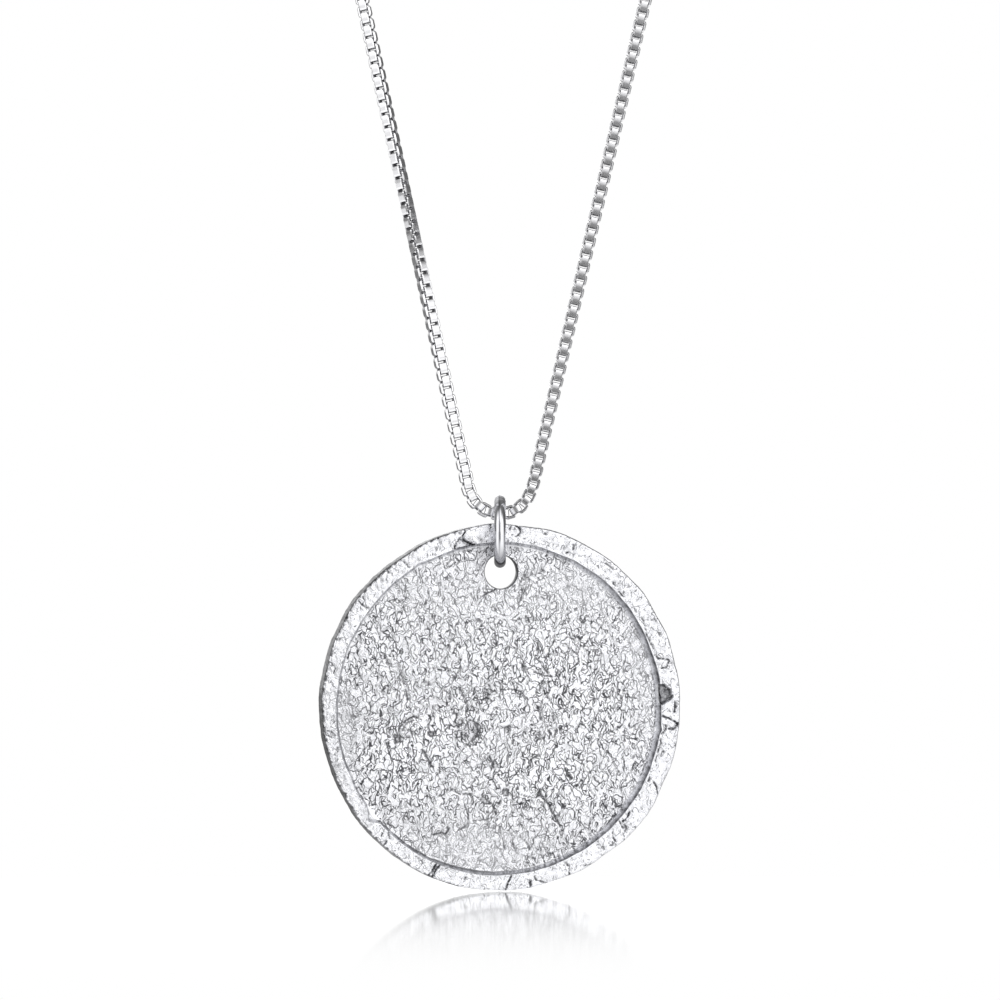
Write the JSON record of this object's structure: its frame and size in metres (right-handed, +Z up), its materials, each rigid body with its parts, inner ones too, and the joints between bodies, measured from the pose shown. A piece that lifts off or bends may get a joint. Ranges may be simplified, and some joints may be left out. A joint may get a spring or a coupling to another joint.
{
  "type": "coin necklace",
  "caption": "Round rimmed coin pendant with a sunk textured field, hung by a jump ring on a fine closed box chain with a clasp at the nape.",
  "frame": {"origin": "the nape: the inner side of the loop's top, in the middle of the clasp, where the necklace rests on a neck", "axes": "+Z up, the loop in the XZ plane, the coin's face towards -Y and turned 12 degrees about Z"},
  "size_m": [0.0754, 0.0075, 0.2279],
  "materials": {
    "coin_silver": "cast silver, hammered bright rim and a softly glossy, finely wrinkled field",
    "ring_silver": "polished silver wire",
    "chain_silver": "polished silver box links",
    "clasp_silver": "polished silver"
  },
  "bodies": {
    "neck_loop": {"chain": "chain_silver", "clasp": "clasp_silver"},
    "ring": {"jump_ring": "ring_silver"},
    "pendant": {"coin": "coin_silver"}
  },
  "joints": [
    {"name": "pendant_swing", "type": "hinge", "parent": "neck_loop", "child": "ring", "pos_m": [0, 0, -0.198], "axis": [1, 0, 0], "range_deg": [-90, 90]},
    {"name": "coin_sway", "type": "hinge", "parent": "ring", "child": "pendant", "pos_m": [0, 0, -0.2017], "axis": [0, 1, 0], "range_deg": [-12, 12]}
  ]
}
